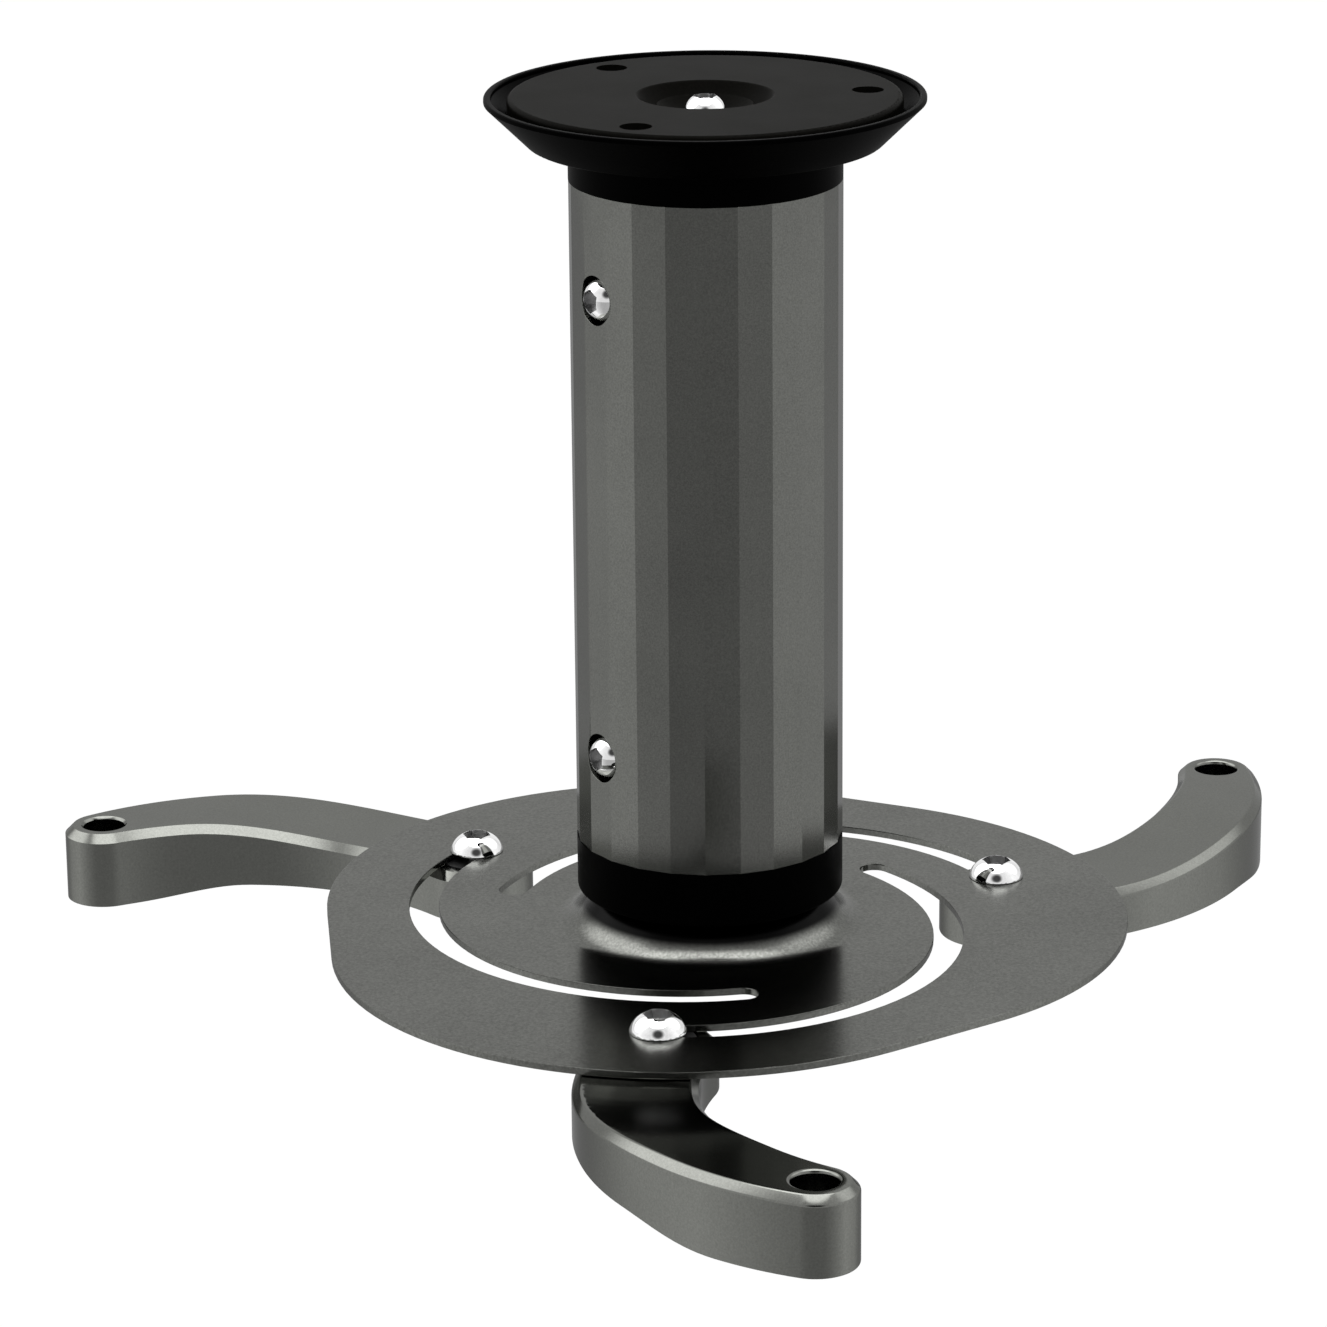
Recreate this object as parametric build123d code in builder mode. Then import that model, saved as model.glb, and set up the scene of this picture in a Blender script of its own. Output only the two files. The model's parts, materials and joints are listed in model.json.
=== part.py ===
from build123d import *
import math
import os

# Projector ceiling mount, in millimetres.
# The origin is the centre of the ceiling plane, and +Z points up into the ceiling.
# A ceiling plate in a black canopy holds a faceted tube through a ball joint, and a second
# ball joint under the tube holds a three lobed device plate with three curved arms.

# Ceiling plate and canopy
ceiling_plate_radius = 45.9
ceiling_plate_thickness = 2.0
ceiling_rim_drop = 4.0
ceiling_bend_radius = 1.2
ceiling_hole_circle = 37.9
ceiling_hole_radius = 3.7
canopy_rim_radius = 51.3
canopy_lip_height = 1.1
canopy_height = 10.8
canopy_base_radius = 41.4
canopy_wall = 1.7
canopy_ledge_width = 2.9

# Upper ball joint: the dish in the ceiling plate is part of a sphere
dish_radius = 20.0
dish_centre_height = 12.1
dish_mouth_fillet = 0.8

# Lower ball joint: the dome in the device plate is part of a sphere
dome_radius = 39.5
dome_rise = 18.6
dome_foot_fillet = 8.0

# Tilt each way about each of the two cross axes, in degrees
upper_tilt = 10.0
lower_tilt = 5.0
tilt_spare = 0.8

# Gaps
ball_gap = 0.3
slip_gap = 0.1
running_gap = 0.05
socket_gap = 0.1

# Column
tube_corner_radius = 32.0
tube_facets = 24
tube_bore_radius = 29.0
tube_length = 161.0
tube_drop = 19.5
collar_shoulder_drop = 11.5
insert_length = 32.5
insert_floor = 12.0
insert_cavity_radius = 13.0
cup_wall_height = 13.1
cup_gap = 0.4
cup_corner_radius = 0.8

# Rings and dished washers of the ball joints
ring_thickness = 1.5
dished_washer_thickness = 1.6

# Side screws
side_screw_inset = 24.8
side_screw_direction = 210.0
side_hole_radius = 5.85
side_seat_radius = 28.3
side_head_radius = 5.5
side_head_height = 4.7
side_shank_length = 9.0

# Button head screws
head_radius = 6.7
head_height = 4.1
head_edge = 0.2
head_flat_radius = 3.2
head_bulge = 0.12
socket_across = 6.2
socket_depth = 2.4
shank_radius = 3.0
upper_head_radius = 5.4
upper_head_height = 4.8

# Nuts and plain washers
nut_across = 10.0
nut_height = 6.0
plain_washer_radius = 9.0
plain_washer_thickness = 1.6
bolt_past_nut = 1.5

# Device plate
plate_drop = 22.1
plate_thickness = 1.8
lobe_radius = 83.6
lobe_offset = 17.6
slot_width = 7.2
slot_centre_offset = 12.7
slot_centre_direction = -8.6
slot_radius = 64.2
slot_start = 19.7
slot_sweep = 136.7

# Arms
arm_count = 3
arm_direction = 45.1
arm_head_radius = 14.0
arm_length = 96.6
arm_tip_radius = 9.85
arm_outer_curve = 79.2
arm_inner_curve = 66.0
arm_top_above_plate = 2.0
arm_head_bottom = 14.2
arm_tip_bottom = 16.9
arm_step_start = 60.0
arm_step_end = 88.0
arm_clear_radius = 30.0
arm_rise_end = 78.0
arm_chamfer = 2.0
arm_bore_radius = 5.25
arm_bore_chamfer = 0.6
arm_washer_radius = 9.0
arm_washer_thickness = 0.8

# Places worked out from the sizes above
bend_angle = math.degrees(math.acos(math.cos(math.radians(upper_tilt)) ** 2))
lower_bend_angle = math.degrees(math.acos(math.cos(math.radians(lower_tilt)) ** 2))
tube_top = -tube_drop
tube_bottom = tube_top - tube_length
plate_top = tube_bottom - plate_drop
plate_bottom = plate_top - plate_thickness
dome_centre = plate_top + dome_rise - dome_radius
dome_inner_radius = dome_radius - plate_thickness
dish_outer_radius = dish_radius + ceiling_plate_thickness

os.makedirs("parts", exist_ok=True)


def below(centre_z, radius, lean):
    """Point of a circle round the Z axis point centre_z, lean degrees off straight down."""
    a = math.radians(lean)
    return (radius * math.sin(a), centre_z - radius * math.cos(a))


def above(centre_z, radius, lean):
    """Point of a circle round the Z axis point centre_z, lean degrees off straight up."""
    a = math.radians(lean)
    return (radius * math.sin(a), centre_z + radius * math.cos(a))


def lean_of(radius, sphere):
    """Lean in degrees of a point at this radius from the axis, on the sphere."""
    return math.degrees(math.asin(radius / sphere))


def button_screw(seat, shank_length, top_radius=head_radius, top_height=head_height):
    """Button head socket screw. The seat plane lies under the head and its Z leaves the head."""
    section = Plane(origin=seat.origin, x_dir=seat.x_dir, z_dir=-seat.y_dir)
    flat = head_flat_radius * top_radius / head_radius
    socket = socket_across / 2 * top_radius / head_radius
    with BuildPart() as screw:
        with BuildSketch(section):
            with BuildLine():
                Polyline(
                    (flat, top_height), (0, top_height), (0, -shank_length),
                    (shank_radius, -shank_length), (shank_radius, 0), (top_radius, 0),
                    (top_radius, head_edge),
                )
                bulge = (flat + top_radius) / 2 + (top_height - head_edge) * head_bulge
                middle = (top_height + head_edge) / 2 + (top_radius - flat) * head_bulge
                ThreePointArc((top_radius, head_edge), (bulge, middle), (flat, top_height))
            make_face()
        revolve(axis=Axis(seat.origin, seat.z_dir))
        with BuildSketch(seat.offset(top_height)):
            RegularPolygon(socket, 6, major_radius=False)
        extrude(amount=-socket_depth, mode=Mode.SUBTRACT)
    return screw.part


def plain_washer(seat, outer_radius, thickness):
    """Flat washer that rises from the seat plane."""
    with BuildPart() as washer:
        with BuildSketch(seat):
            Circle(outer_radius)
            Circle(shank_radius + running_gap, mode=Mode.SUBTRACT)
        extrude(amount=thickness)
    return washer.part


def lock_nut(seat):
    """Hexagon lock nut that rises from the seat plane to its domed collar."""
    with BuildPart() as nut:
        with BuildSketch(seat):
            RegularPolygon(nut_across / 2, 6, major_radius=False)
        extrude(amount=nut_height * 0.75)
        with BuildSketch(seat.offset(nut_height * 0.75)):
            Circle(nut_across / 2 - 0.4)
        extrude(amount=nut_height * 0.25)
        with BuildSketch(seat):
            Circle(shank_radius + running_gap)
        extrude(amount=nut_height, mode=Mode.SUBTRACT)
    return nut.part


def save(part, name):
    """Label a finished piece and write its file."""
    part.label = name
    export_step(part, f"parts/{name}.step")


# Ceiling plate: one pressed disc with a turned down rim and a ball dish in its middle
dish_hole_lean = lean_of(shank_radius, dish_radius) + bend_angle + tilt_spare
dish_mouth_lean = math.degrees(math.acos(dish_centre_height / dish_radius))
dish_foot_lean = math.degrees(
    math.acos((dish_centre_height + ceiling_plate_thickness) / dish_outer_radius)
)
with BuildPart() as ceiling_plate:
    with BuildSketch(Plane.XZ):
        with BuildLine():
            Polyline(
                below(dish_centre_height, dish_radius, dish_mouth_lean),
                (ceiling_plate_radius, 0),
                (ceiling_plate_radius, -ceiling_rim_drop),
                (ceiling_plate_radius - ceiling_plate_thickness, -ceiling_rim_drop),
                (ceiling_plate_radius - ceiling_plate_thickness, -ceiling_plate_thickness),
                below(dish_centre_height, dish_outer_radius, dish_foot_lean),
            )
            ThreePointArc(
                below(dish_centre_height, dish_outer_radius, dish_foot_lean),
                below(dish_centre_height, dish_outer_radius, (dish_foot_lean + dish_hole_lean) / 2),
                below(dish_centre_height, dish_outer_radius, dish_hole_lean),
            )
            Line(
                below(dish_centre_height, dish_outer_radius, dish_hole_lean),
                below(dish_centre_height, dish_radius, dish_hole_lean),
            )
            ThreePointArc(
                below(dish_centre_height, dish_radius, dish_hole_lean),
                below(dish_centre_height, dish_radius, (dish_mouth_lean + dish_hole_lean) / 2),
                below(dish_centre_height, dish_radius, dish_mouth_lean),
            )
        make_face()
    revolve(axis=Axis.Z)
    rings = ceiling_plate.edges().filter_by(GeomType.CIRCLE).group_by(Axis.Z)[-1]
    fillet(rings.sort_by(SortBy.RADIUS)[-1], radius=ceiling_bend_radius)
    rings = ceiling_plate.edges().filter_by(GeomType.CIRCLE).group_by(Axis.Z)[-1]
    fillet(rings.sort_by(SortBy.RADIUS)[0], radius=dish_mouth_fillet)
    with BuildSketch(Plane.XY):
        with PolarLocations(ceiling_hole_circle, 3):
            Circle(ceiling_hole_radius)
    extrude(amount=-ceiling_plate_thickness, mode=Mode.SUBTRACT)
ceiling_plate.part.label = "ceiling_plate"
export_step(ceiling_plate.part, "parts/ceiling_plate.step")

# Canopy: an open cone round the ceiling plate, which rests on the ledge inside it
canopy_ledge_radius = ceiling_plate_radius + socket_gap
with BuildPart() as canopy:
    with BuildSketch(Plane.XZ):
        with BuildLine():
            Polyline(
                (canopy_rim_radius - canopy_wall, 0),
                (canopy_rim_radius, 0),
                (canopy_rim_radius, -canopy_lip_height),
                (canopy_base_radius, -canopy_height),
                (canopy_base_radius - canopy_wall, -canopy_height),
                (canopy_base_radius - canopy_wall, -canopy_height + canopy_wall),
                (canopy_ledge_radius - canopy_ledge_width, -ceiling_rim_drop - canopy_wall),
                (canopy_ledge_radius - canopy_ledge_width, -ceiling_rim_drop),
                (canopy_ledge_radius, -ceiling_rim_drop),
                (canopy_rim_radius - canopy_wall, -canopy_lip_height),
                close=True,
            )
        make_face()
    revolve(axis=Axis.Z)
    outer_edges = canopy.edges().filter_by(GeomType.CIRCLE)
    foot = outer_edges.group_by(Axis.Z)[0].sort_by(SortBy.RADIUS)[-1]
    fillet(foot, radius=canopy_wall * 0.9)
    brim = canopy.edges().filter_by(GeomType.CIRCLE).group_by(Axis.Z)[-1]
    fillet(brim, radius=canopy_wall * 0.3)
canopy.part.label = "canopy"
export_step(canopy.part, "parts/canopy.step")

# Upper dished washer: it lies in the dish and carries the bolt's head on its flat middle
upper_washer_outer = dish_radius - ball_gap
upper_washer_inner = upper_washer_outer - dished_washer_thickness
upper_flat_radius = upper_head_radius + 4 * running_gap
upper_washer_lean = dish_hole_lean + bend_angle + tilt_spare / 2
upper_seat_lean = lean_of(upper_flat_radius, upper_washer_inner)
upper_seat_height = below(dish_centre_height, upper_washer_inner, upper_seat_lean)[1]
upper_hole_lean = lean_of(shank_radius + running_gap, upper_washer_outer)
with BuildPart() as upper_dished_washer:
    with BuildSketch(Plane.XZ):
        with BuildLine():
            ThreePointArc(
                below(dish_centre_height, upper_washer_outer, upper_hole_lean),
                below(dish_centre_height, upper_washer_outer, upper_washer_lean / 2),
                below(dish_centre_height, upper_washer_outer, upper_washer_lean),
            )
            Line(
                below(dish_centre_height, upper_washer_outer, upper_washer_lean),
                below(dish_centre_height, upper_washer_inner, upper_washer_lean),
            )
            ThreePointArc(
                below(dish_centre_height, upper_washer_inner, upper_washer_lean),
                below(dish_centre_height, upper_washer_inner, (upper_washer_lean + upper_seat_lean) / 2),
                below(dish_centre_height, upper_washer_inner, upper_seat_lean),
            )
            Polyline(
                below(dish_centre_height, upper_washer_inner, upper_seat_lean),
                (shank_radius + running_gap, upper_seat_height),
                below(dish_centre_height, upper_washer_outer, upper_hole_lean),
            )
        make_face()
    revolve(axis=Axis.Z)
upper_dished_washer.part.label = "upper_dished_washer"
export_step(upper_dished_washer.part, "parts/upper_dished_washer.step")

# Upper friction ring: a thin ball shaped ring between the dish and the collar
upper_ring_inner = dish_outer_radius + ball_gap
upper_ring_outer = upper_ring_inner + ring_thickness
upper_ring_bore_lean = lean_of(shank_radius, upper_ring_inner) + upper_tilt + tilt_spare
upper_ring_edge_lean = dish_foot_lean - upper_tilt - 2 * tilt_spare


def ball_ring(centre_z, inner, outer, bore_lean, edge_lean, place):
    """Ring cut from a ball shell; place is the function below or above."""
    middle_lean = (bore_lean + edge_lean) / 2
    with BuildPart() as ring:
        with BuildSketch(Plane.XZ):
            with BuildLine():
                ThreePointArc(
                    place(centre_z, inner, bore_lean),
                    place(centre_z, inner, middle_lean),
                    place(centre_z, inner, edge_lean),
                )
                Line(place(centre_z, inner, edge_lean), place(centre_z, outer, edge_lean))
                ThreePointArc(
                    place(centre_z, outer, edge_lean),
                    place(centre_z, outer, middle_lean),
                    place(centre_z, outer, bore_lean),
                )
                Line(place(centre_z, outer, bore_lean), place(centre_z, inner, bore_lean))
            make_face()
        revolve(axis=Axis.Z)
    return ring.part


upper_friction_ring = ball_ring(
    dish_centre_height, upper_ring_inner, upper_ring_outer,
    upper_ring_bore_lean, upper_ring_edge_lean, below,
)
save(upper_friction_ring, "upper_friction_ring")

# Top collar: its ball seat, its black shoulder on the tube's end and its insert in the tube
collar_seat_sphere = upper_ring_outer + ball_gap
collar_seat_lean = upper_ring_edge_lean
collar_seat_rim = below(dish_centre_height, collar_seat_sphere, collar_seat_lean)
collar_bore = shank_radius + 4 * running_gap
collar_bore_lean = lean_of(collar_bore, collar_seat_sphere)
collar_floor = dish_centre_height - collar_seat_sphere - insert_floor
insert_radius = tube_bore_radius - socket_gap
collar_land_radius = collar_seat_rim[0] + ring_thickness
with BuildPart() as top_collar:
    with BuildSketch(Plane.XZ):
        with BuildLine():
            ThreePointArc(
                below(dish_centre_height, collar_seat_sphere, collar_bore_lean),
                below(dish_centre_height, collar_seat_sphere, collar_seat_lean / 2),
                collar_seat_rim,
            )
            Polyline(
                collar_seat_rim,
                (collar_land_radius, collar_seat_rim[1]),
                (tube_corner_radius, -collar_shoulder_drop),
                (tube_corner_radius, tube_top),
                (insert_radius, tube_top),
                (insert_radius, tube_top - insert_length),
                (insert_cavity_radius, tube_top - insert_length),
                (insert_cavity_radius, collar_floor),
                (collar_bore, collar_floor),
                below(dish_centre_height, collar_seat_sphere, collar_bore_lean),
            )
        make_face()
    revolve(axis=Axis.Z)
    for turn in (0, 180):
        side_axis = Plane(
            origin=(0, 0, tube_top - side_screw_inset),
            x_dir=(0, 0, 1),
            z_dir=Vector(1, 0, 0).rotate(Axis.Z, side_screw_direction + turn),
        )
        with BuildSketch(side_axis.offset(side_seat_radius)):
            Circle(side_hole_radius)
        extrude(amount=tube_corner_radius, mode=Mode.SUBTRACT)
        with BuildSketch(side_axis.offset(side_seat_radius)):
            Circle(shank_radius + running_gap)
        extrude(amount=-(side_shank_length + 1), mode=Mode.SUBTRACT)
top_collar.part.label = "top_collar"
export_step(top_collar.part, "parts/top_collar.step")

# Upper bolt, its washer and its lock nut, which pull the collar up against the dish
upper_nut_face = collar_floor - plain_washer_thickness
upper_shank = upper_seat_height - upper_nut_face + nut_height + bolt_past_nut
upper_bolt = button_screw(
    Plane.XY.offset(upper_seat_height), upper_shank, upper_head_radius, upper_head_height
)
save(upper_bolt, "upper_bolt")
save(
    plain_washer(Plane.XY.offset(upper_nut_face), plain_washer_radius, plain_washer_thickness),
    "upper_plain_washer",
)
save(lock_nut(Plane((0, 0, upper_nut_face), z_dir=(0, 0, -1))), "upper_lock_nut")

# Column tube: a bored extrusion with flat facets and a pair of cross holes near each end
with BuildPart() as column_tube:
    with BuildSketch(Plane.XY.offset(tube_bottom)):
        RegularPolygon(tube_corner_radius, tube_facets, rotation=180 / tube_facets)
        Circle(tube_bore_radius, mode=Mode.SUBTRACT)
    extrude(amount=tube_length)
    for hole_height in (tube_top - side_screw_inset, tube_bottom + side_screw_inset):
        side_axis = Plane(
            origin=(0, 0, hole_height),
            x_dir=(0, 0, 1),
            z_dir=Vector(1, 0, 0).rotate(Axis.Z, side_screw_direction),
        )
        with BuildSketch(side_axis):
            Circle(side_hole_radius)
        extrude(amount=tube_corner_radius, both=True, mode=Mode.SUBTRACT)
column_tube.part.label = "column_tube"
export_step(column_tube.part, "parts/column_tube.step")

# Side screws: their heads fill the tube's cross holes and clamp on the inserts
side_screw_places = {
    "upper_side_screw_front": (tube_top - side_screw_inset, 0),
    "upper_side_screw_back": (tube_top - side_screw_inset, 180),
    "lower_side_screw_front": (tube_bottom + side_screw_inset, 0),
    "lower_side_screw_back": (tube_bottom + side_screw_inset, 180),
}
for screw_name, (screw_height, turn) in side_screw_places.items():
    outward = Vector(1, 0, 0).rotate(Axis.Z, side_screw_direction + turn)
    seat = Plane(
        origin=Vector(0, 0, screw_height) + outward * side_seat_radius,
        x_dir=(0, 0, 1),
        z_dir=outward,
    )
    save(button_screw(seat, side_shank_length, side_head_radius, side_head_height), screw_name)

# Bottom cup: its insert in the tube, its black wall and the ball pocket over the dome
cup_inner_sphere = dome_radius + cup_gap
lower_ring_inner = dome_radius + ball_gap
lower_ring_outer = lower_ring_inner + ring_thickness
cup_pocket_sphere = lower_ring_outer + ball_gap
lower_ring_bore_lean = lean_of(shank_radius, lower_ring_inner) + lower_tilt + tilt_spare
lower_ring_edge_lean = 28.0
cup_pocket_lean = lower_ring_edge_lean + lower_tilt + tilt_spare
cup_foot = tube_bottom - cup_wall_height
cup_rim_lean = math.degrees(math.acos((cup_foot - dome_centre) / cup_inner_sphere))
cup_bore_lean = lean_of(collar_bore, cup_pocket_sphere)
cup_rim = above(dome_centre, cup_inner_sphere, cup_rim_lean)
cup_floor = dome_centre + cup_pocket_sphere + insert_floor
with BuildPart() as bottom_cup:
    with BuildSketch(Plane.XZ):
        with BuildLine():
            ThreePointArc(
                above(dome_centre, cup_pocket_sphere, cup_bore_lean),
                above(dome_centre, cup_pocket_sphere, cup_pocket_lean / 2),
                above(dome_centre, cup_pocket_sphere, cup_pocket_lean),
            )
            Line(
                above(dome_centre, cup_pocket_sphere, cup_pocket_lean),
                above(dome_centre, cup_inner_sphere, cup_pocket_lean),
            )
            ThreePointArc(
                above(dome_centre, cup_inner_sphere, cup_pocket_lean),
                above(dome_centre, cup_inner_sphere, (cup_pocket_lean + cup_rim_lean) / 2),
                cup_rim,
            )
            Polyline(
                cup_rim,
                (tube_corner_radius, cup_foot),
                (tube_corner_radius, tube_bottom),
                (insert_radius, tube_bottom),
                (insert_radius, tube_bottom + insert_length),
                (insert_cavity_radius, tube_bottom + insert_length),
                (insert_cavity_radius, cup_floor),
                (collar_bore, cup_floor),
                above(dome_centre, cup_pocket_sphere, cup_bore_lean),
            )
        make_face()
    revolve(axis=Axis.Z)
    foot_rings = bottom_cup.edges().filter_by(GeomType.CIRCLE).group_by(Axis.Z)[0]
    fillet(foot_rings.sort_by(SortBy.RADIUS)[-1], radius=cup_corner_radius)
    for turn in (0, 180):
        side_axis = Plane(
            origin=(0, 0, tube_bottom + side_screw_inset),
            x_dir=(0, 0, 1),
            z_dir=Vector(1, 0, 0).rotate(Axis.Z, side_screw_direction + turn),
        )
        with BuildSketch(side_axis.offset(side_seat_radius)):
            Circle(side_hole_radius)
        extrude(amount=tube_corner_radius, mode=Mode.SUBTRACT)
        with BuildSketch(side_axis.offset(side_seat_radius)):
            Circle(shank_radius + running_gap)
        extrude(amount=-(side_shank_length + 1), mode=Mode.SUBTRACT)
bottom_cup.part.label = "bottom_cup"
export_step(bottom_cup.part, "parts/bottom_cup.step")

# Lower friction ring, between the dome and the cup's pocket
lower_friction_ring = ball_ring(
    dome_centre, lower_ring_inner, lower_ring_outer,
    lower_ring_bore_lean, lower_ring_edge_lean, above,
)
save(lower_friction_ring, "lower_friction_ring")

# Device plate: one pressed sheet with three lobes, three arc slots and the ball dome
dome_hole_lean = lean_of(shank_radius, dome_radius) + lower_bend_angle + tilt_spare
foot_centre_height = plate_top + dome_foot_fillet
foot_lean = math.degrees(
    math.acos((foot_centre_height - dome_centre) / (dome_radius + dome_foot_fillet))
)
foot_centre = above(dome_centre, dome_radius + dome_foot_fillet, foot_lean)
inner_fillet = dome_foot_fillet + plate_thickness


def foot_point(radius, lean):
    """Point of the fillet at the dome's foot, lean degrees off straight down."""
    a = math.radians(lean)
    return (foot_centre[0] - radius * math.sin(a), foot_centre[1] - radius * math.cos(a))


with BuildPart() as device_plate:
    with BuildSketch(Plane.XY.offset(plate_bottom)):
        with PolarLocations(lobe_offset, arm_count):
            Circle(lobe_radius)
        make_hull()
        Circle(foot_centre[0], mode=Mode.SUBTRACT)
    extrude(amount=plate_thickness)
    with BuildSketch(Plane.XZ):
        with BuildLine():
            ThreePointArc(
                foot_point(dome_foot_fillet, 0),
                foot_point(dome_foot_fillet, foot_lean / 2),
                foot_point(dome_foot_fillet, foot_lean),
            )
            ThreePointArc(
                above(dome_centre, dome_radius, foot_lean),
                above(dome_centre, dome_radius, (foot_lean + dome_hole_lean) / 2),
                above(dome_centre, dome_radius, dome_hole_lean),
            )
            Line(
                above(dome_centre, dome_radius, dome_hole_lean),
                above(dome_centre, dome_inner_radius, dome_hole_lean),
            )
            ThreePointArc(
                above(dome_centre, dome_inner_radius, dome_hole_lean),
                above(dome_centre, dome_inner_radius, (foot_lean + dome_hole_lean) / 2),
                above(dome_centre, dome_inner_radius, foot_lean),
            )
            ThreePointArc(
                foot_point(inner_fillet, foot_lean),
                foot_point(inner_fillet, foot_lean / 2),
                foot_point(inner_fillet, 0),
            )
            Line(foot_point(inner_fillet, 0), foot_point(dome_foot_fillet, 0))
        make_face()
    revolve(axis=Axis.Z)
    with BuildSketch(Plane.XY.offset(plate_bottom)):
        for arm_turn in (0, 120, 240):
            slot_centre = Vector(slot_centre_offset, 0).rotate(
                Axis.Z, slot_centre_direction + arm_turn
            )
            slot_line = Edge.make_circle(
                slot_radius,
                Plane(slot_centre),
                start_angle=slot_start + arm_turn,
                end_angle=slot_start + arm_turn + slot_sweep,
            )
            SlotArc(slot_line, slot_width)
    extrude(amount=plate_thickness, mode=Mode.SUBTRACT)
device_plate.part.label = "device_plate"
export_step(device_plate.part, "parts/device_plate.step")

# Lower dished washer and lower bolt, which hold the plate up against the cup from below
lower_washer_outer = dome_inner_radius - ball_gap
lower_washer_inner = lower_washer_outer - dished_washer_thickness
lower_washer_lean = dome_hole_lean + lower_bend_angle + tilt_spare / 2
lower_seat_lean = lean_of(head_radius + 4 * running_gap, lower_washer_inner)
lower_seat_height = above(dome_centre, lower_washer_inner, lower_seat_lean)[1]
lower_hole_lean = lean_of(shank_radius + running_gap, lower_washer_outer)
with BuildPart() as lower_dished_washer:
    with BuildSketch(Plane.XZ):
        with BuildLine():
            ThreePointArc(
                above(dome_centre, lower_washer_outer, lower_hole_lean),
                above(dome_centre, lower_washer_outer, lower_washer_lean / 2),
                above(dome_centre, lower_washer_outer, lower_washer_lean),
            )
            Line(
                above(dome_centre, lower_washer_outer, lower_washer_lean),
                above(dome_centre, lower_washer_inner, lower_washer_lean),
            )
            ThreePointArc(
                above(dome_centre, lower_washer_inner, lower_washer_lean),
                above(dome_centre, lower_washer_inner, (lower_washer_lean + lower_seat_lean) / 2),
                above(dome_centre, lower_washer_inner, lower_seat_lean),
            )
            Polyline(
                above(dome_centre, lower_washer_inner, lower_seat_lean),
                (shank_radius + running_gap, lower_seat_height),
                above(dome_centre, lower_washer_outer, lower_hole_lean),
            )
        make_face()
    revolve(axis=Axis.Z)
lower_dished_washer.part.label = "lower_dished_washer"
export_step(lower_dished_washer.part, "parts/lower_dished_washer.step")

lower_nut_face = cup_floor + plain_washer_thickness
lower_shank = lower_nut_face - lower_seat_height + nut_height + bolt_past_nut
lower_bolt = button_screw(Plane((0, 0, lower_seat_height), z_dir=(0, 0, -1)), lower_shank)
save(lower_bolt, "lower_bolt")
save(
    plain_washer(Plane.XY.offset(cup_floor), plain_washer_radius, plain_washer_thickness),
    "lower_plain_washer",
)
save(lock_nut(Plane.XY.offset(lower_nut_face)), "lower_lock_nut")

# Arms: curved castings whose head turns on its screw under the plate, with the washer let in.
# Their top stays under the plate out to the circle that the plate's edge can reach, and then
# rises on one long curve that starts and ends level.
arm_washer_foot = plate_bottom - slip_gap - arm_washer_thickness
arm_head_top = plate_bottom - 2 * slip_gap
arm_top = plate_top + arm_top_above_plate
arm_head_foot = plate_top - arm_head_bottom
arm_tip_foot = plate_top - arm_tip_bottom


def curve_centre(head_reach, tip_reach):
    """Centre of an arc at these distances from the head's centre and the tip's centre."""
    along = (head_reach**2 - tip_reach**2 + arm_length**2) / (2 * arm_length)
    return along, math.sqrt(head_reach**2 - along**2)


def arc_touch(centre, reach, radius):
    """Point at this radius from the arc's centre, towards the circle's centre or past it."""
    x, y = centre
    length = math.hypot(reach - x, y)
    return x + (reach - x) * radius / length, y - y * radius / length


outer_centre = curve_centre(arm_outer_curve - arm_head_radius, arm_outer_curve - arm_tip_radius)
inner_centre = curve_centre(arm_inner_curve + arm_head_radius, arm_inner_curve + arm_tip_radius)
outer_head_point = arc_touch(outer_centre, 0, arm_outer_curve)
outer_tip_point = arc_touch(outer_centre, arm_length, arm_outer_curve)
inner_head_point = arc_touch(inner_centre, 0, arm_inner_curve)
inner_tip_point = arc_touch(inner_centre, arm_length, arm_inner_curve)
slot_centre_angle = math.radians(slot_centre_direction)
pivot_x = slot_centre_offset * math.cos(slot_centre_angle) + slot_radius * math.cos(math.radians(slot_start))
pivot_y = slot_centre_offset * math.sin(slot_centre_angle) + slot_radius * math.sin(math.radians(slot_start))

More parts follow.
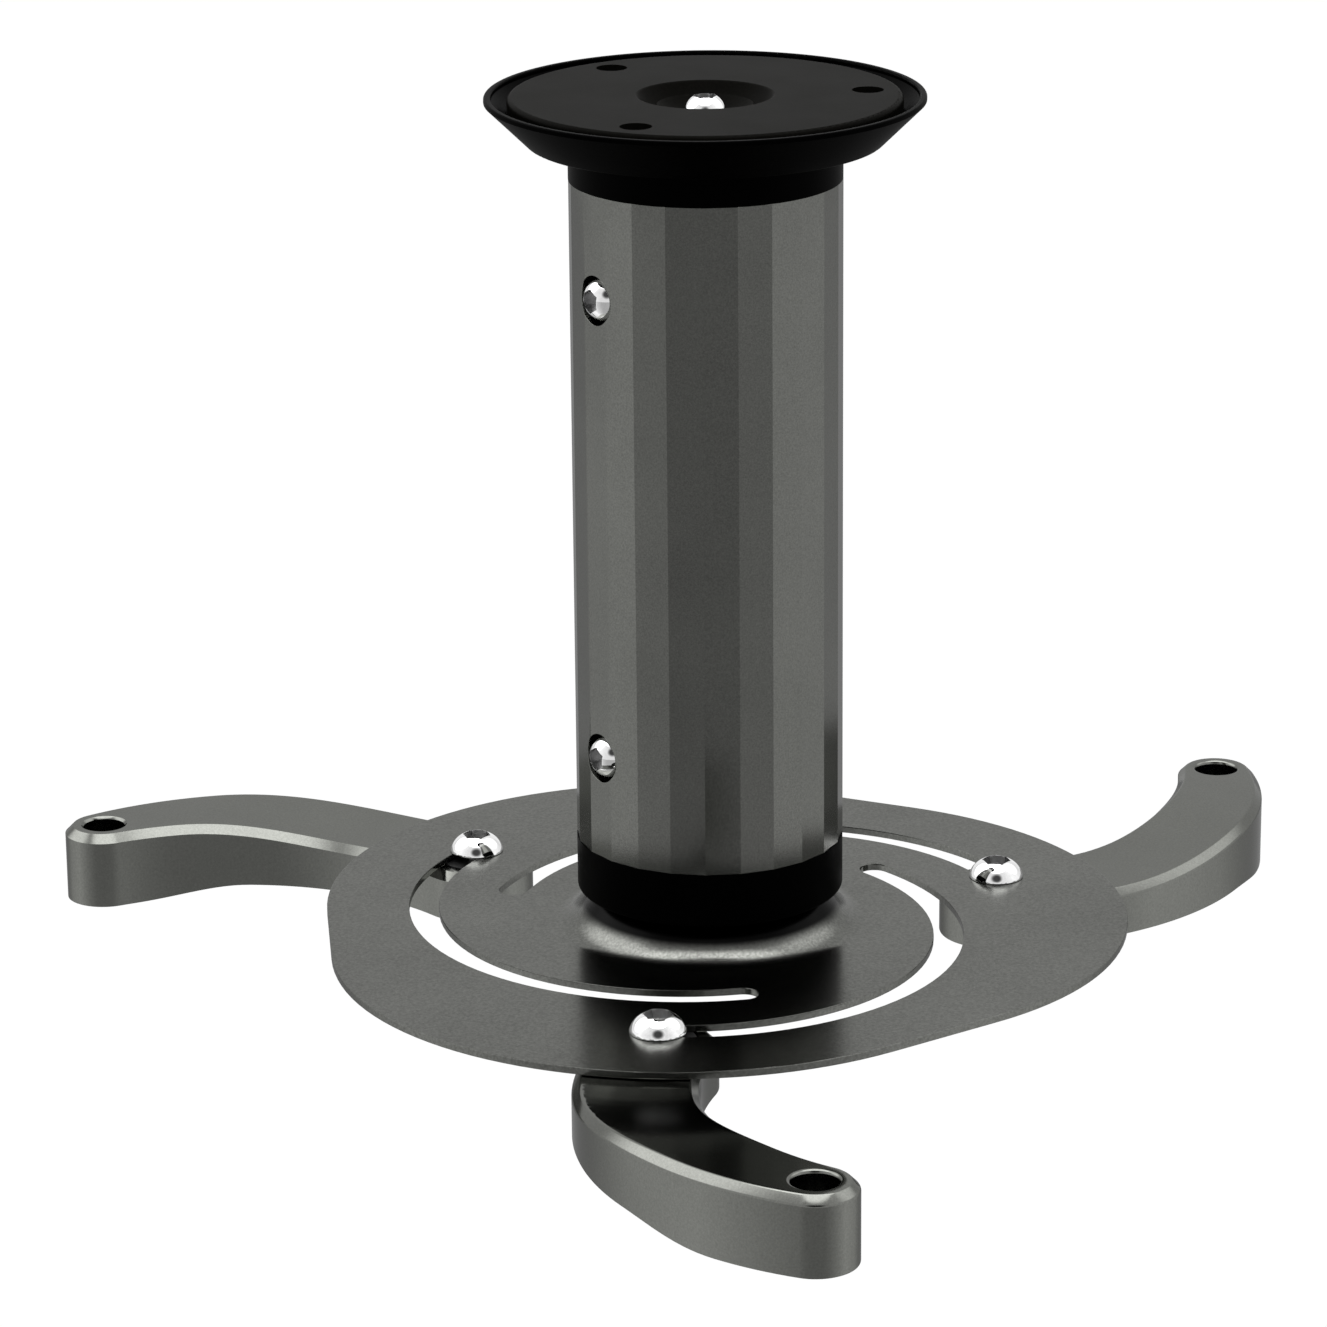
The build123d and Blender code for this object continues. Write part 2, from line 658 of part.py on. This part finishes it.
for arm_number, arm_turn in enumerate((0, 120, 240), start=1):
    pivot = Vector(pivot_x, pivot_y).rotate(Axis.Z, arm_turn)
    along_arm = Vector(1, 0, 0).rotate(Axis.Z, arm_direction + arm_turn)
    arm_plan = Plane(origin=pivot, x_dir=along_arm, z_dir=(0, 0, 1))
    arm_side = Plane(origin=pivot, x_dir=along_arm, z_dir=-arm_plan.y_dir)
    with BuildPart() as arm:
        with BuildSketch(arm_plan.offset(arm_tip_foot)):
            with BuildLine():
                RadiusArc(outer_head_point, outer_tip_point, -arm_outer_curve)
                RadiusArc(outer_tip_point, inner_tip_point, -arm_tip_radius)
                RadiusArc(inner_tip_point, inner_head_point, arm_inner_curve)
                ThreePointArc(inner_head_point, (-arm_head_radius, 0), outer_head_point)
            make_face()
        extrude(amount=arm_top - arm_tip_foot)
        with BuildSketch(arm_side):
            with BuildLine():
                Polyline(
                    (arm_step_start, arm_head_foot),
                    (-2 * arm_head_radius, arm_head_foot),
                    (-2 * arm_head_radius, arm_top),
                    (arm_length + 2 * arm_tip_radius, arm_top),
                    (arm_length + 2 * arm_tip_radius, arm_tip_foot),
                    (arm_step_end, arm_tip_foot),
                )
                Spline(
                    (arm_step_end, arm_tip_foot),
                    (arm_step_start, arm_head_foot),
                    tangents=((-1, 0), (-1, 0)),
                )
            make_face()
        extrude(amount=arm_length, both=True, mode=Mode.INTERSECT)
        with BuildSketch(arm_side):
            with BuildLine():
                Polyline(
                    (arm_clear_radius, arm_head_top),
                    (0, arm_head_top),
                    (0, arm_top + arm_chamfer),
                    (arm_rise_end, arm_top + arm_chamfer),
                    (arm_rise_end, arm_top),
                )
                Spline(
                    (arm_clear_radius, arm_head_top),
                    (arm_rise_end, arm_top),
                    tangents=((1, 0), (1, 0)),
                )
            make_face()
        revolve(axis=Axis(pivot, (0, 0, 1)), mode=Mode.SUBTRACT)
        seams = arm.edges().filter_by(
            lambda e: e.geom_type == GeomType.CIRCLE
            and min(abs(e.radius - arm_clear_radius), abs(e.radius - arm_rise_end)) < 0.01
        )
        top_edges = arm.edges().filter_by(lambda e: e.center().Z > arm_head_top - slip_gap)
        chamfer(top_edges - seams, length=arm_chamfer)
        with BuildSketch(arm_plan.offset(arm_top)):
            with Locations((arm_length, 0)):
                Circle(arm_bore_radius)
        extrude(amount=arm_tip_foot - arm_top, mode=Mode.SUBTRACT)
        bore_rims = arm.edges().filter_by(
            lambda e: e.geom_type == GeomType.CIRCLE and abs(e.radius - arm_bore_radius) < 0.01
        )
        chamfer(bore_rims, length=arm_bore_chamfer)
        with BuildSketch(arm_plan.offset(arm_head_foot)):
            Circle(shank_radius + running_gap)
        extrude(amount=arm_head_top - arm_head_foot, mode=Mode.SUBTRACT)
        with BuildSketch(arm_plan.offset(arm_head_top)):
            Circle(arm_washer_radius + 3 * slip_gap)
        extrude(amount=arm_washer_foot - slip_gap - arm_head_top, mode=Mode.SUBTRACT)
        with BuildSketch(arm_plan.offset(arm_head_foot)):
            RegularPolygon(nut_across / 2 + socket_gap, 6, major_radius=False)
        extrude(amount=nut_height, mode=Mode.SUBTRACT)
    save(arm.part, f"arm_{arm_number}")
    screw_seat = arm_plan.offset(plate_top + slip_gap)
    nut_seat = Plane(
        origin=pivot + Vector(0, 0, arm_head_foot + nut_height), x_dir=along_arm, z_dir=(0, 0, -1)
    )
    screw_length = plate_top + slip_gap - arm_head_foot - nut_height * 0.1
    save(button_screw(screw_seat, screw_length), f"arm_screw_{arm_number}")
    save(
        plain_washer(arm_plan.offset(arm_washer_foot), arm_washer_radius, arm_washer_thickness),
        f"arm_washer_{arm_number}",
    )
    save(lock_nut(nut_seat), f"arm_lock_nut_{arm_number}")
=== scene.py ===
import bpy
import json
import math
from mathutils import Euler, Matrix, Vector


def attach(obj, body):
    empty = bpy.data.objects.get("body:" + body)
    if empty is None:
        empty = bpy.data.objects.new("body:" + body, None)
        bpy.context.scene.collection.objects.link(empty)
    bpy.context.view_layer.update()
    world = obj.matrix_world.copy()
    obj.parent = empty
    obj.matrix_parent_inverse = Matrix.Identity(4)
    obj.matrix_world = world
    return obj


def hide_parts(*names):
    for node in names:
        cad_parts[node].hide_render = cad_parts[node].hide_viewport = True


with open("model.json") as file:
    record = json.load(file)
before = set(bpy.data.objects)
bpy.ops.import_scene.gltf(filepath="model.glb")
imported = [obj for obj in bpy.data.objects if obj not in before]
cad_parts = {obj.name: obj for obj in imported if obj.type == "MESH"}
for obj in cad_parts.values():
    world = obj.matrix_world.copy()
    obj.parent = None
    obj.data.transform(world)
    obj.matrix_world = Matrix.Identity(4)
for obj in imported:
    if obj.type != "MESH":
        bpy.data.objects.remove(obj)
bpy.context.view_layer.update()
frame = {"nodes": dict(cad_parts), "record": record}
print("frame loaded with", len(frame["nodes"]), "nodes")

bodyOfNode = {}
for bodyName, members in frame["record"]["behaviour"]["bodies"].items():
    for member in members:
        bodyOfNode[member] = bodyName
slotOfNode = {row["node"]: row["material_slot"] for row in frame["record"]["subparts"]}
bpy.context.scene.view_settings.view_transform = "Standard"


# the camera's place and lens come from fitting the photograph
cameraFit = {
    "place": (-0.1191, -1.2129, 0.2571),
    "pitch": 17.970,       # degrees below the horizon
    "heading": -5.1,       # degrees about the tube
    "roll": -0.5268,
    "focalPixels": 5361.92,
    "imagePixels": 1327,
    "sensor": 36.0,        # millimetres
    "clip": (0.01, 200),
}


def makeCamera(fit):
    cameraData = bpy.data.cameras.new("photoCamera")
    cameraData.sensor_width = fit["sensor"]
    cameraData.lens = fit["focalPixels"] / fit["imagePixels"] * fit["sensor"]
    cameraData.clip_start, cameraData.clip_end = fit["clip"]
    camera = bpy.data.objects.new("photoCamera", cameraData)
    bpy.context.scene.collection.objects.link(camera)
    aim = Euler((math.radians(90 - fit["pitch"]), 0, math.radians(fit["heading"])))
    turn = aim.to_matrix() @ Matrix.Rotation(math.radians(fit["roll"]), 3, "Z")
    camera.matrix_world = Matrix.Translation(fit["place"]) @ turn.to_4x4()
    bpy.context.scene.camera = camera
    print("camera placed, lens", round(cameraData.lens, 2))


makeCamera(cameraFit)


class Wire:  # wraps a socket so that + - * / and powers add Math nodes
    def __init__(self, sheet, socket):
        self.sheet, self.socket = sheet, socket

    def mathNode(self, operation, first, second):
        return self.sheet.wire("ShaderNodeMath", {"operation": operation}, {0: first, 1: second})

    def __add__(self, other):
        return self.mathNode("ADD", self, other)

    def __radd__(self, other):
        return self.mathNode("ADD", other, self)

    def __sub__(self, other):
        return self.mathNode("SUBTRACT", self, other)

    def __rsub__(self, other):
        return self.mathNode("SUBTRACT", other, self)

    def __mul__(self, other):
        return self.mathNode("MULTIPLY", self, other)

    def __rmul__(self, other):
        return self.mathNode("MULTIPLY", other, self)

    def __truediv__(self, other):
        return self.mathNode("DIVIDE", self, other)

    def __rtruediv__(self, other):
        return self.mathNode("DIVIDE", other, self)

    def __pow__(self, other):
        return self.mathNode("POWER", self, other)


class NodeSheet:  # one node tree, with one method that adds any node
    def __init__(self, tree):
        self.tree = tree
        tree.nodes.clear()

    def add(self, kind, settings=None, inputs=None):
        node = self.tree.nodes.new(kind)
        for key, value in (settings or {}).items():
            if key == "stops":
                while len(node.color_ramp.elements) < len(value):
                    node.color_ramp.elements.new(0.5)
                for element, (place, shade) in zip(node.color_ramp.elements, value):
                    element.position = place
                    element.color = (shade, shade, shade, 1)
            else:
                setattr(node, key, value)
        for key, value in (inputs or {}).items():
            if isinstance(value, Wire):
                self.tree.links.new(value.socket, node.inputs[key])
            else:
                node.inputs[key].default_value = value
        return node

    def wire(self, kind, settings=None, inputs=None, output=0):
        return Wire(self, self.add(kind, settings, inputs).outputs[output])


def newMaterial(name):
    material = bpy.data.materials.new(name)
    material.use_nodes = True
    return material, NodeSheet(material.node_tree)


def rgb(red, green, blue):
    return (red, green, blue, 1)


def splitPlace(sheet, place):
    parts = sheet.add("ShaderNodeSeparateXYZ", None, {0: place})
    return [Wire(sheet, parts.outputs[axis]) for axis in "XYZ"]


def mixColour(sheet, share, first, second):
    # 0 is a colour mix's factor, 6 and 7 are its two colours, 2 its result
    return sheet.wire("ShaderNodeMix", {"data_type": "RGBA"}, {0: share, 6: first, 7: second}, 2)


def softStep(sheet, value, low, high, top=1.0):
    return sheet.wire("ShaderNodeMapRange", {"interpolation_type": "SMOOTHSTEP"}, {
        "Value": value, "From Min": low, "From Max": high, "To Max": top,
    })


def readRays(sheet):
    ray = sheet.add("ShaderNodeLightPath")
    return [Wire(sheet, ray.outputs[name]) for name in ("Is Camera Ray", "Is Glossy Ray")]


# both mouldings differ only in how much they reflect
moulding = {
    "dark": rgb(0.0003, 0.0003, 0.0003), "light": rgb(0.0007, 0.0007, 0.0007),
    "metallic": 0.0, "roughness": 0.34, "roughSwing": 0.05,
    "grain": 1500, "grainBump": 0.04, "cloud": 50,
}

# grain and cloud are noise scales per metre, roughSwing is how far the gloss varies each way
finishes = {
    "tubeCoat": {
        "dark": rgb(0.104, 0.106, 0.099), "light": rgb(0.158, 0.161, 0.150),
        "metallic": 1.0, "roughness": 0.16, "roughSwing": 0.03, "specular": 0.3, "edgeTint": 0.75,
        "grain": 2600, "grainBump": 0.05, "cloud": 35,
    },
    "plateCoat": {
        "dark": rgb(0.110, 0.112, 0.104), "light": rgb(0.186, 0.189, 0.177),
        "metallic": 1.0, "roughness": 0.21, "roughSwing": 0.02, "specular": 0.3, "edgeTint": 0.64,
        "grain": 1400, "grainBump": 0.010, "cloud": 28,
        "cupFootShade": (0.0301, 0.0322),     # painted shade under the cup's foot: the dome is painted black inside the first radius and fades out by the second
    },
    "armCoat": {
        "dark": rgb(0.148, 0.151, 0.140), "light": rgb(0.190, 0.194, 0.180),
        "metallic": 1.0, "roughness": 0.13, "roughSwing": 0.02, "specular": 0.3, "edgeTint": 0.60,
        "grain": 2000, "grainBump": 0.02, "cloud": 40,
    },
    "ceilingCoat": {
        "dark": rgb(0.0024, 0.0023, 0.0019), "light": rgb(0.0046, 0.0044, 0.0036),
        "metallic": 0.0, "roughness": 0.42, "roughSwing": 0.04, "specular": 0.008,
        "grain": 1500, "grainBump": 0.08, "cloud": 60,
    },
    "blackMoulding": {**moulding, "specular": 0.008},
    "canopyMoulding": {**moulding, "specular": 0.005},
    # painted shade: a darker plating for the walls and floor of a screw's hexagon socket, standing
    # in for the shade inside the recess
    "socketPaintedShade": {
        "dark": rgb(0.28, 0.28, 0.28), "light": rgb(0.38, 0.38, 0.38),
        "metallic": 1.0, "roughness": 0.35, "roughSwing": 0.04, "specular": 0.3,
        "grain": 900, "grainBump": 0.02, "cloud": 300,
    },
    "brightPlating": {
        "dark": rgb(0.80, 0.80, 0.80), "light": rgb(0.92, 0.92, 0.92),
        "metallic": 1.0, "roughness": 0.06, "roughSwing": 0.02, "specular": 0.5,
        "grain": 900, "grainBump": 0.005, "cloud": 300,
    },
    "zincPlating": {
        "dark": rgb(0.42, 0.42, 0.40), "light": rgb(0.56, 0.56, 0.53),
        "metallic": 1.0, "roughness": 0.34, "roughSwing": 0.08, "specular": 0.5,
        "grain": 1400, "grainBump": 0.06, "cloud": 220,
    },
    "nylonRing": {
        "dark": rgb(0.010, 0.010, 0.010), "light": rgb(0.016, 0.016, 0.016),
        "metallic": 0.0, "roughness": 0.5, "roughSwing": 0.08, "specular": 0.2,
        "grain": 1200, "grainBump": 0.04, "cloud": 120,
    },
}
patchwork = {
    "grainDetail": 2.0, "grainRoughness": 0.6,
    "cloudDetail": 3.0, "cloudRoughness": 0.5,
    "grainShare": 0.75,          # of the colour patches, the rest is cloud
    "spread": (0.32, 0.68),      # noise levels of the dark and the light colour
    "cloudMiddle": 0.5,
    "bumpDepth": 0.00012,
    "cupFootShadeColour": rgb(0.003, 0.003, 0.003),
}


def makeFinish(name, look):
    material, sheet = newMaterial(name)
    place = sheet.wire("ShaderNodeTexCoord", output="Object")
    grain = sheet.wire("ShaderNodeTexNoise", None, {
        "Vector": place, "Scale": look["grain"],
        "Detail": patchwork["grainDetail"], "Roughness": patchwork["grainRoughness"],
    })
    cloud = sheet.wire("ShaderNodeTexNoise", None, {
        "Vector": place, "Scale": look["cloud"],
        "Detail": patchwork["cloudDetail"], "Roughness": patchwork["cloudRoughness"],
    })
    patch = grain * patchwork["grainShare"] + cloud * (1 - patchwork["grainShare"])
    spread = sheet.wire("ShaderNodeMapRange", None, {
        "Value": patch, "From Min": patchwork["spread"][0], "From Max": patchwork["spread"][1],
    })
    shade = mixColour(sheet, spread, look["dark"], look["light"])
    bump = sheet.wire("ShaderNodeBump", None, {
        "Strength": look["grainBump"], "Distance": patchwork["bumpDepth"], "Height": grain,
    })
    # painted shade: the dome under the cup's foot is darkened to a near-black colour, standing in
    # for the cup's shadow there
    if "cupFootShade" in look:
        x, y = splitPlace(sheet, place)[:2]
        cupFootShade = 1 - softStep(sheet, (x * x + y * y) ** 0.5, *look["cupFootShade"])
        shade = mixColour(sheet, cupFootShade, shade, patchwork["cupFootShadeColour"])
    swing = (cloud - patchwork["cloudMiddle"]) * (2 * look["roughSwing"])
    edgeTint = look.get("edgeTint", 1.0)
    surface = sheet.wire("ShaderNodeBsdfPrincipled", None, {
        "Base Color": shade,
        "Metallic": look["metallic"],
        "Roughness": swing + look["roughness"],
        "Specular IOR Level": look["specular"],
        "Specular Tint": rgb(edgeTint, edgeTint, edgeTint),
        "Normal": bump,
    })
    sheet.add("ShaderNodeOutputMaterial", None, {"Surface": surface})
    return material


materials = {name: makeFinish(name, look) for name, look in finishes.items()}
finishOfSlot = {
    "canopy_plastic": "canopyMoulding",
    "black_plastic": "blackMoulding",
    "black_steel": "ceilingCoat",
    "tube_aluminium": "tubeCoat",
    "plate_steel": "plateCoat",
    "arm_casting": "armCoat",
    "nylon": "nylonRing",
    "zinc_steel": "zincPlating",
    "chrome_steel": "brightPlating",
}
print("finishes made:", len(materials))


# each dressed piece stands for its node, with merged faces and softened edges:
# smooth is the largest angle in degrees that is shaded round, bevel is a width in metres,
# socketReach is how far across a screw's hexagon its walls are looked for, to be given painted
# shade
dressing = {
    "column_tube": {"smooth": 9, "bevel": 0.00012},
    "device_plate": {"smooth": 28, "bevel": 0.00025},
}
for node in ("ceiling_plate", "canopy", "top_collar", "bottom_cup"):
    dressing[node] = {"smooth": 28, "bevel": 0.0002}
for node in ("arm_1", "arm_2", "arm_3"):
    dressing[node] = {"smooth": 30, "bevel": 0.0006}
for node in ("arm_screw_1", "arm_screw_2", "arm_screw_3", "upper_bolt",
             "upper_side_screw_front", "upper_side_screw_back",
             "lower_side_screw_front", "lower_side_screw_back"):
    dressing[node] = {"smooth": 30, "bevel": 0.00004, "socketReach": 0.0065}
plainDressing = {"smooth": 30, "bevel": 0.00015}
meshCare = {
    "merge": 0.000002,
    "flatWithin": 1,           # degrees between triangles that become one quad
    "squareWithin": 60,
    "bevelFrom": 40,           # degrees, gentler edges get no bevel
    "bevelSteps": 2,
    "largeFaceWeight": 80,
    "wallLift": 0.00002,       # start of the ray that finds a socket's walls
}


def dressNode(node):
    look = dressing.get(node, plainDressing)
    source = frame["nodes"][node]
    bpy.ops.object.select_all(action="DESELECT")
    piece = bpy.data.objects.new("finished_" + node, source.data.copy())
    bpy.context.scene.collection.objects.link(piece)
    piece.select_set(True)
    bpy.context.view_layer.objects.active = piece
    bpy.ops.object.mode_set(mode="EDIT")
    bpy.ops.mesh.select_all(action="SELECT")
    bpy.ops.mesh.remove_doubles(threshold=meshCare["merge"])
    bpy.ops.mesh.tris_convert_to_quads(
        face_threshold=math.radians(meshCare["flatWithin"]),
        shape_threshold=math.radians(meshCare["squareWithin"]),
    )
    bpy.ops.object.mode_set(mode="OBJECT")
    soften = piece.modifiers.new("softEdges", "BEVEL")
    soften.width = look["bevel"]
    soften.segments = meshCare["bevelSteps"]
    soften.limit_method = "ANGLE"
    soften.angle_limit = math.radians(meshCare["bevelFrom"])
    soften.use_clamp_overlap = True
    bpy.ops.object.modifier_apply(modifier="softEdges")
    bpy.ops.object.shade_smooth_by_angle(angle=math.radians(look["smooth"]))
    flatten = piece.modifiers.new("flatFaces", "WEIGHTED_NORMAL")
    flatten.keep_sharp = True
    flatten.weight = meshCare["largeFaceWeight"]
    bpy.ops.object.modifier_apply(modifier="flatFaces")
    piece.data.materials.clear()
    piece.data.materials.append(materials[finishOfSlot[slotOfNode[node]]])
    # faces inside a screw's socket get painted shade
    if "socketReach" in look:
        piece.data.materials.append(materials["socketPaintedShade"])
        for face in piece.data.polygons:
            start = face.center + face.normal * meshCare["wallLift"]
            if piece.ray_cast(start, face.normal, distance=look["socketReach"])[0]:
                face.material_index = 1
    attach(piece, bodyOfNode[node])
    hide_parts(node)


for node in sorted(frame["nodes"]):
    dressNode(node)
print("pieces dressed:", len(frame["nodes"]))


# the studio has a pale floor, a pale sky and one soft box overhead
studio = {
    "floorHeight": -2.4,
    "floorSize": 60.0,
    "front": (-0.0976, -0.9952),     # flat direction towards the camera
    # brightness of the sky and the floor in gloss, from the back (0) round to the front (1)
    "glossStops": [(0.0, 1.0), (0.12, 0.80), (0.35, 1.0), (0.60, 1.12), (0.80, 0.95), (1.0, 0.80)],
    "floorStops": [(0.0, 0.36), (0.10, 0.56), (0.30, 0.98), (0.60, 1.12), (0.80, 0.76),
                   (0.96, 0.46), (1.0, 0.44)],
    # bright cap overhead, from its edge to its full level, where 1 is straight up
    "overhead": (0.86, 0.92), "overheadLevel": 2.9,
    # patches seen only in gloss: degrees round from the camera, degrees up, spans and level
    "glossLights": [
        {"round": -113, "up": 42, "core": 11, "edge": 34, "level": 2.1},
        {"round": 116, "up": 42, "core": 8, "edge": 28, "level": 1.1},
    ],
    "glossShade": {"round": 0, "up": 35, "core": 10, "edge": 27, "level": 0.93},
    "fill": 0.5,                     # brightness of the sky as a light
    "floorWhite": 1.08,              # glow of the floor as the camera sees it
    "floorGlowShare": 0.9,           # the rest is paint, which takes the object's shadow
    "floorPaint": rgb(0.8, 0.8, 0.8),
    "white": rgb(1, 1, 1),
    "nearZero": 0.000001,
}
softBox = {
    "place": (0.0, -0.75, 1.55), "aim": (0, 0, -0.1),
    "size": (1.3, 1.1), "power": 14.0,
}


def frontness(x, y, look):
    reach = (x * x + y * y + look["nearZero"]) ** 0.5
    return (x * look["front"][0] + y * look["front"][1]) / reach * 0.5 + 0.5


def glossPatch(sheet, axes, front, patch):
    turn, lift = math.radians(patch["round"]), math.radians(patch["up"])
    aim = Vector((
        (front[0] * math.cos(turn) - front[1] * math.sin(turn)) * math.cos(lift),
        (front[0] * math.sin(turn) + front[1] * math.cos(turn)) * math.cos(lift),
        math.sin(lift),
    ))
    nearness = axes[0] * aim.x + axes[1] * aim.y + axes[2] * aim.z
    edge, core = math.radians(patch["edge"]), math.radians(patch["core"])
    return softStep(sheet, nearness, math.cos(edge), math.cos(core), patch["level"])


def makeWorld(look):
    world = bpy.data.worlds.new("studioWorld")
    world.use_nodes = True
    bpy.context.scene.world = world
    sheet = NodeSheet(world.node_tree)
    axes = splitPlace(sheet, sheet.wire("ShaderNodeTexCoord", output="Generated"))
    x, y, height = axes
    side = frontness(x, y, look)
    gloss = sheet.wire("ShaderNodeValToRGB", {"stops": look["glossStops"]}, {0: side})
    gloss = gloss * (1 - glossPatch(sheet, axes, look["front"], look["glossShade"]))
    gloss = gloss + softStep(sheet, height, *look["overhead"]) * look["overheadLevel"]
    for light in look["glossLights"]:
        gloss = gloss + glossPatch(sheet, axes, look["front"], light)
    isCamera, isGlossy = readRays(sheet)
    level = isGlossy * (gloss - look["fill"]) + look["fill"]
    level = isCamera * (1 - level) + level
    sky = sheet.wire("ShaderNodeBackground", None, {"Color": look["white"], "Strength": level})
    sheet.add("ShaderNodeOutputWorld", None, {"Surface": sky})


def makeFloor(look):
    bpy.ops.object.select_all(action="DESELECT")
    bpy.ops.mesh.primitive_plane_add(size=look["floorSize"], location=(0, 0, look["floorHeight"]))
    floor = bpy.context.active_object
    floor.name = "studioFloor"
    bpy.ops.object.transform_apply(location=True, rotation=True, scale=True)
    material, sheet = newMaterial("paleFloor")
    x, y = splitPlace(sheet, sheet.wire("ShaderNodeTexCoord", output="Object"))[:2]
    side = frontness(x, y, look)
    gloss = sheet.wire("ShaderNodeValToRGB", {"stops": look["floorStops"]}, {0: side})
    isCamera, isGlossy = readRays(sheet)
    level = isCamera * look["floorWhite"] + isGlossy * gloss
    glow = sheet.wire("ShaderNodeEmission", None, {"Color": look["white"], "Strength": level})
    paint = sheet.wire("ShaderNodeBsdfDiffuse", None, {"Color": look["floorPaint"]})
    share = isCamera * look["floorGlowShare"] + isGlossy
    surface = sheet.wire("ShaderNodeMixShader", None, {0: share, 1: paint, 2: glow})
    sheet.add("ShaderNodeOutputMaterial", None, {"Surface": surface})
    floor.data.materials.append(material)


def makeSoftBox(look):
    lamp = bpy.data.lights.new("softBox", "AREA")
    lamp.shape = "RECTANGLE"
    lamp.size, lamp.size_y = look["size"]
    lamp.energy = look["power"]
    box = bpy.data.objects.new("softBox", lamp)
    bpy.context.scene.collection.objects.link(box)
    box.location = look["place"]
    aim = Vector(look["aim"]) - Vector(look["place"])
    box.rotation_euler = aim.to_track_quat("-Z", "Y").to_euler()
    box.visible_camera = False
    box.visible_glossy = False


makeWorld(studio)
makeFloor(studio)
makeSoftBox(softBox)
print("studio lit")
